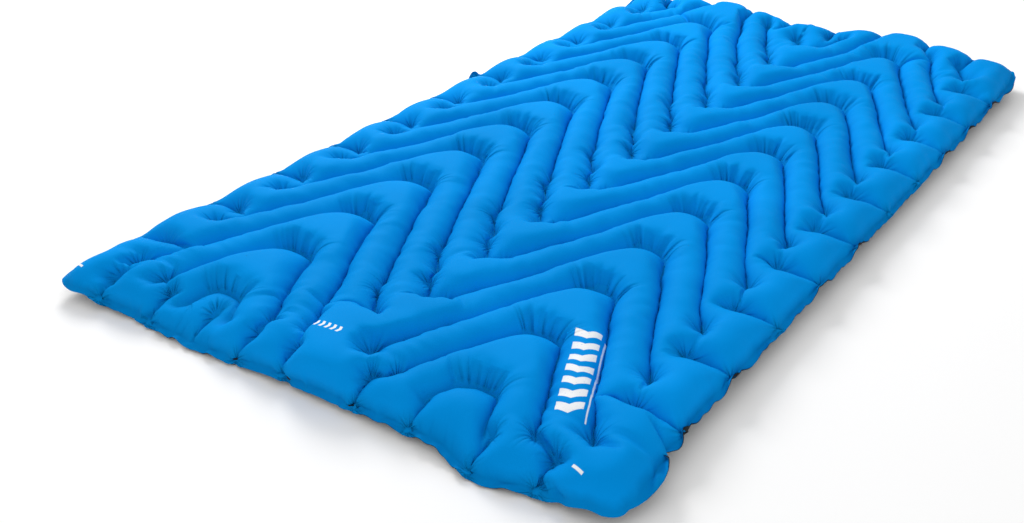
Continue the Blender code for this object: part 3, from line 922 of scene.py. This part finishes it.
def dress_valves():
    slots = {
        "valve_base": moulded_material("soft_flange_tpu", (0.09, 0.095, 0.10), 0.45, 0.00004),
        "valve_body": moulded_material("valve_moulding", (0.06, 0.062, 0.066), 0.38, 0.00003),
        "plunger": moulded_material("plunger_moulding", (0.02, 0.02, 0.022), 0.35, 0.00003),
        "seal": moulded_material("seal_rubber_matt", (0.012, 0.012, 0.012), 0.7, 0.00002),
        "cap": moulded_material("cap_moulding", (0.028, 0.029, 0.032), 0.42, 0.00005),
        "check_flap": moulded_material("flap_silicone_matt", (0.55, 0.56, 0.56), 0.5, 0.00002, 0.3),
    }
    for name, node in frame["nodes"].items():
        for ending, material in slots.items():
            if name.endswith(ending):
                node.data.materials.clear()
                node.data.materials.append(material)


# ---- scene ----


def camera():
    """Views the pad as the photograph does. Its lens and place were fitted to the outline and welds."""
    data = bpy.data.cameras.new("camera")
    data.sensor_width = 36
    data.lens = 39.8
    data.shift_x = -0.1846
    azimuth, elevation, roll = (math.radians(angle) for angle in (29.78, 30.9, 1.19))
    back = Vector((
        math.sin(azimuth) * math.cos(elevation),
        -math.cos(azimuth) * math.cos(elevation),
        math.sin(elevation),
    ))
    right = (-back).cross(Vector((0, 0, 1))).normalized()
    up = right.cross(-back)
    level, tilt = math.cos(roll), math.sin(roll)
    turn = Matrix((right * level + up * tilt, up * level - right * tilt, back)).transposed()
    viewer = bpy.data.objects.new("camera", data)
    viewer.matrix_world = Matrix.Translation(Vector((0.3567, -0.2897, 0.036)) + back * 2.1248) @ turn.to_4x4()
    bpy.context.scene.collection.objects.link(viewer)
    bpy.context.scene.camera = viewer


def area_light(name, place, target, size, power):
    data = bpy.data.lights.new(name, "AREA")
    data.size = size
    data.energy = power
    lamp = bpy.data.objects.new(name, data)
    lamp.location = place
    lamp.rotation_euler = (Vector(target) - Vector(place)).to_track_quat("-Z", "Y").to_euler()
    bpy.context.scene.collection.objects.link(lamp)


def studio():
    mesh = bpy.data.meshes.new("floor")
    size = 12
    corners = [(-size, -size, 0), (size, -size, 0), (size, size, 0), (-size, size, 0)]
    mesh.from_pydata(corners, [], [(0, 1, 2, 3)])
    nodes = Nodes("floor_paper")
    nodes.shader.inputs["Base Color"].default_value = (0.97, 0.97, 0.97, 1)
    nodes.shader.inputs["Roughness"].default_value = 0.8
    mesh.materials.append(nodes.material)
    floor = bpy.data.objects.new("floor", mesh)
    bpy.context.scene.collection.objects.link(floor)
    area_light("key", (-2.2, 1.3, 2.0), (0, 0, 0), 1.3, 78)
    area_light("fill", (1.8, -2.6, 2.6), (0, -0.2, 0), 3.0, 16)
    world = bpy.data.worlds.new("studio")
    world.use_nodes = True
    world.node_tree.nodes["Background"].inputs["Color"].default_value = (1, 1, 1, 1)
    world.node_tree.nodes["Background"].inputs["Strength"].default_value = 0.72
    bpy.context.scene.world = world
    bpy.context.scene.view_settings.view_transform = "Standard"


def build_pad():
    plan, flat, triangles, welds, x = inflated_sheet()
    top, bottom = sheet_shapes(plan, x, triangles)
    gap = weld_gaps(len(plan), welds)
    fans = creases(plan, triangles)
    blue = fabric_material("pad_blue", (0.0, 0.275, 0.75), 0.60, 0.0, prints=True)
    grey = fabric_material("pad_grey", (0.035, 0.038, 0.044), 0.55, 0.10)
    upper = sheet_object("top_fabric_sheet", top, flat, gap, x[:, 2], fans, triangles, blue)
    lower_faces = triangles[:, ::-1]
    for centre, axis in valve_axes():
        bottom, lower_faces = open_hole(bottom, lower_faces, centre, axis)
    lower = sheet_object("bottom_fabric_sheet", bottom, flat, gap, x[:, 2], fans, lower_faces, grey)
    for piece, node, slot in ((upper, "top_sheet", "top_fabric"), (lower, "bottom_sheet", "bottom_fabric")):
        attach(piece, "pad")
        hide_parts(node)


build_pad()
dress_valves()
camera()
studio()
